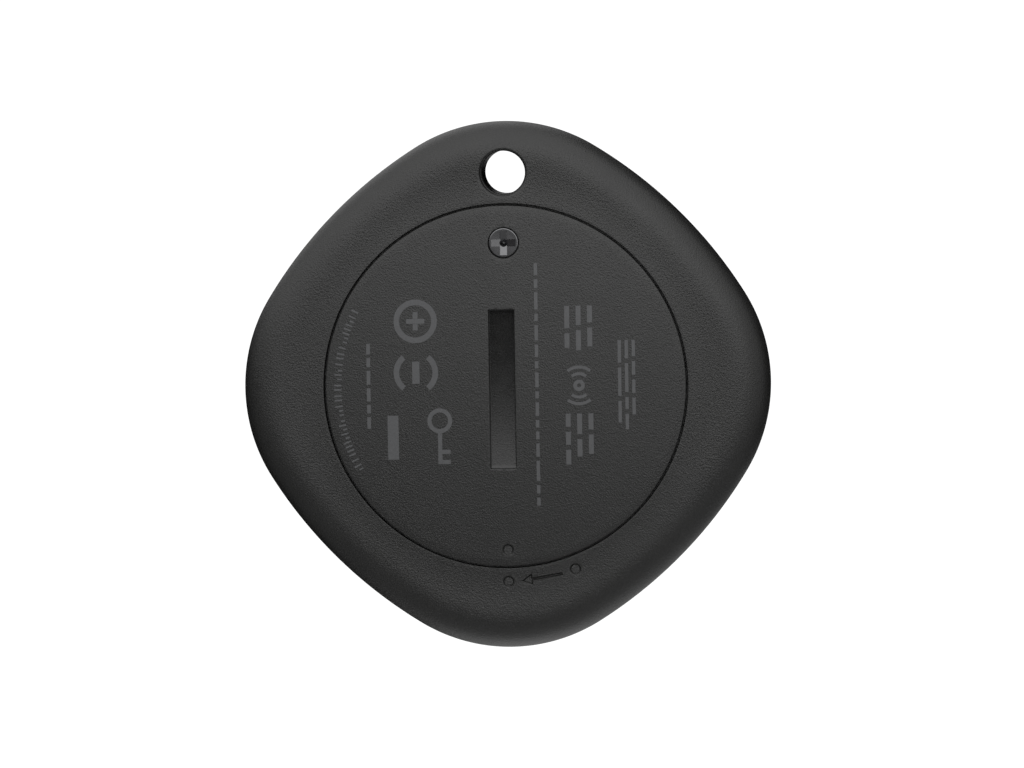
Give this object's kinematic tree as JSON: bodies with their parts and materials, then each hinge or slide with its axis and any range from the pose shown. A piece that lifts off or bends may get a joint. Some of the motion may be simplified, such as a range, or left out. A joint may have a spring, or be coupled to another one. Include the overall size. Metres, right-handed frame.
{
  "type": "bluetooth tracker tag",
  "caption": "Flat rounded-diamond key-finder tag with a lanyard hole and a coin-turn battery cover held by a small cross-head screw.",
  "frame": {"origin": "centre of the flat front face, which the tag lies on", "axes": "+Z through the thickness, from the front face to the rear face with the battery cover; +Y towards the lanyard hole; +X to the right, looking at the rear face"},
  "size_m": [0.0432, 0.0432, 0.008],
  "materials": {
    "housing_black": "fine spark-eroded texture, polished in the coin slot",
    "seal_rubber": "matt",
    "cover_screw_steel": "smooth dark nickel",
    "nylon_white": "matt",
    "tray_black": "moulded, satin",
    "cell_steel": "bright nickel",
    "gasket_grey": "matt",
    "cell_filling": "satin",
    "contact_gold": "gold plated",
    "screw_steel": "zinc plated",
    "board": "solder mask",
    "chip_black": "moulded epoxy",
    "can_silver": "nickel lid",
    "ceramic_tan": "fired ceramic",
    "ceramic_white": "fired ceramic",
    "tape_grey": "foam tape",
    "sounder_brass": "rolled sheet"
  },
  "bodies": {
    "housing": {"front_shell": "housing_black", "rear_shell": "housing_black", "battery_tray": "tray_black", "cell_can": "cell_steel", "cell_gasket": "gasket_grey", "cell_cap": "cell_filling", "positive_contact": "contact_gold", "negative_contact": "contact_gold", "tray_screw_1": "screw_steel", "tray_screw_2": "screw_steel", "tray_screw_3": "screw_steel", "circuit_board": "board", "bluetooth_chip": "chip_black", "motion_sensor": "chip_black", "main_crystal": "can_silver", "clock_crystal": "can_silver", "boost_inductor": "ceramic_tan", "chip_antenna": "ceramic_white", "capacitor_1": "ceramic_tan", "capacitor_2": "ceramic_tan", "capacitor_3": "ceramic_tan", "capacitor_4": "ceramic_tan", "capacitor_5": "ceramic_tan", "capacitor_6": "ceramic_tan", "sounder_spring_1": "contact_gold", "sounder_spring_2": "contact_gold", "sounder_adhesive": "tape_grey", "sounder_diaphragm": "sounder_brass", "sounder_ceramic": "ceramic_white"},
    "seal": {"cover_seal": "seal_rubber"},
    "cover": {"battery_cover": "housing_black"},
    "retainer": {"screw_retainer": "nylon_white"},
    "screw": {"cover_screw": "cover_screw_steel"}
  },
  "joints": [
    {"name": "cover_rise", "type": "slide", "parent": "housing", "child": "seal", "axis": [0, 0, 1], "range_m": [0, 0.0003]},
    {"name": "cover_turn", "type": "hinge", "parent": "seal", "child": "cover", "pos_m": [0, 0, 0.006], "axis": [0, 0, 1], "range_deg": [0, 20]},
    {"name": "screw_rise", "type": "slide", "parent": "cover", "child": "retainer", "axis": [0, 0, 1], "range_m": [0, 0.0014]},
    {"name": "screw_turn", "type": "hinge", "parent": "retainer", "child": "screw", "pos_m": [0, 0.0117, 0.006], "axis": [0, 0, 1], "range_deg": [0, 1260]}
  ],
  "couplings": [
    {"joint": "cover_turn", "follows": "cover_rise", "rad_per_m": 1163.5},
    {"joint": "screw_turn", "follows": "screw_rise", "rad_per_m": 15707}
  ]
}
